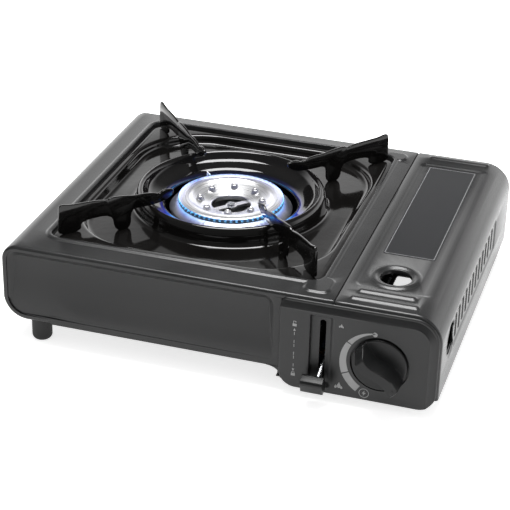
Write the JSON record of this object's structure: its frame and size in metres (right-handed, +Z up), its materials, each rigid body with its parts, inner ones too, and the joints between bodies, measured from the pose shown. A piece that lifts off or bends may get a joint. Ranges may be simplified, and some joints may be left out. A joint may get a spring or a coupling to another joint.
{
  "type": "butane cassette stove",
  "caption": "Portable table stove with a ring burner in a drip pan, blade pan supports, a lidded cartridge bay, a control knob and a cartridge lever.",
  "frame": {"origin": "middle of the box around the whole stove, on the surface that it stands on", "axes": "+X to the right, towards the cartridge bay; +Y to the back, away from the controls; +Z up"},
  "size_m": [0.34, 0.3, 0.1055],
  "materials": {
    "case_paint": "satin dark grey paint",
    "inner_steel": "satin dark grey paint",
    "moulding": "fine-grained matte moulding",
    "control_plastic": "smooth satin moulding",
    "enamel": "glossy fired enamel",
    "cast_aluminium": "satin die casting",
    "heat_aluminium": "mill finish sheet",
    "zinc_steel": "bright zinc plate",
    "die_cast": "satin zinc die casting",
    "brass": "machined",
    "copper": "drawn tube",
    "ceramic": "glazed ceramic",
    "rubber": "matte",
    "lead_sleeve": "satin sleeve"
  },
  "bodies": {
    "case": {"case_wrap": "case_paint", "base_plate": "inner_steel", "base_tray": "inner_steel", "rear_panel": "case_paint", "front_fascia": "moulding", "bay_front_wall": "case_paint", "control_housing": "moulding", "partition": "inner_steel", "heat_plate": "heat_aluminium", "case_screws": "zinc_steel", "foot_front_left": "rubber", "foot_front_right": "rubber", "foot_rear_left": "rubber", "foot_rear_right": "rubber", "burner_body": "cast_aluminium", "burner_ring": "cast_aluminium", "burner_cap": "cast_aluminium", "burner_crossbar": "cast_aluminium", "burner_screw": "zinc_steel", "burner_bracket": "zinc_steel", "mixing_tube": "cast_aluminium", "air_shutter": "zinc_steel", "gas_jet": "brass", "gas_pipe": "copper", "spark_electrode": "ceramic", "electrode_bracket": "zinc_steel", "ignition_lead": "lead_sleeve", "piezo_igniter": "control_plastic", "regulator_body": "die_cast", "regulator_cover": "zinc_steel", "regulator_screws": "zinc_steel", "regulator_bracket": "inner_steel", "inlet_seal": "rubber", "collar_guide": "inner_steel", "lever_bracket": "inner_steel", "carriage_rivets": "zinc_steel", "lid_pins": "zinc_steel"},
    "lid": {"canister_lid": "case_paint"},
    "pan_set": {"drip_pan": "enamel", "pan_collar": "enamel", "pan_support_front_left": "enamel", "pan_support_front_right": "enamel", "pan_support_rear_left": "enamel", "pan_support_rear_right": "enamel"},
    "knob": {"control_knob": "control_plastic", "valve_spindle": "zinc_steel"},
    "lever": {"lock_lever": "zinc_steel", "lever_knob": "control_plastic", "lever_shaft": "zinc_steel", "drive_arm": "zinc_steel"},
    "carriage": {"cartridge_carriage": "zinc_steel"}
  },
  "joints": [
    {"name": "lid_hinge", "type": "hinge", "parent": "case", "child": "lid", "pos_m": [0.1662, 0.011, 0.0179], "axis": [0, 1, 0], "range_deg": [0, 95]},
    {"name": "pan_lift", "type": "slide", "parent": "case", "child": "pan_set", "axis": [0, 0, 1], "range_m": [0, 0.12]},
    {"name": "knob_turn", "type": "hinge", "parent": "case", "child": "knob", "pos_m": [0.1266, -0.132, 0.0392], "axis": [0, -1, 0], "range_deg": [-37, 112]},
    {"name": "lever_turn", "type": "hinge", "parent": "case", "child": "lever", "pos_m": [0.0832, -0.088, 0.04], "axis": [-1, 0, 0], "range_deg": [0, 48.9]},
    {"name": "carriage_slide", "type": "slide", "parent": "case", "child": "carriage", "axis": [0, 1, 0], "range_m": [0, 0.008]}
  ],
  "couplings": [
    {"joint": "carriage_slide", "follows": "lever_turn", "m_per_rad": 0.009364}
  ]
}
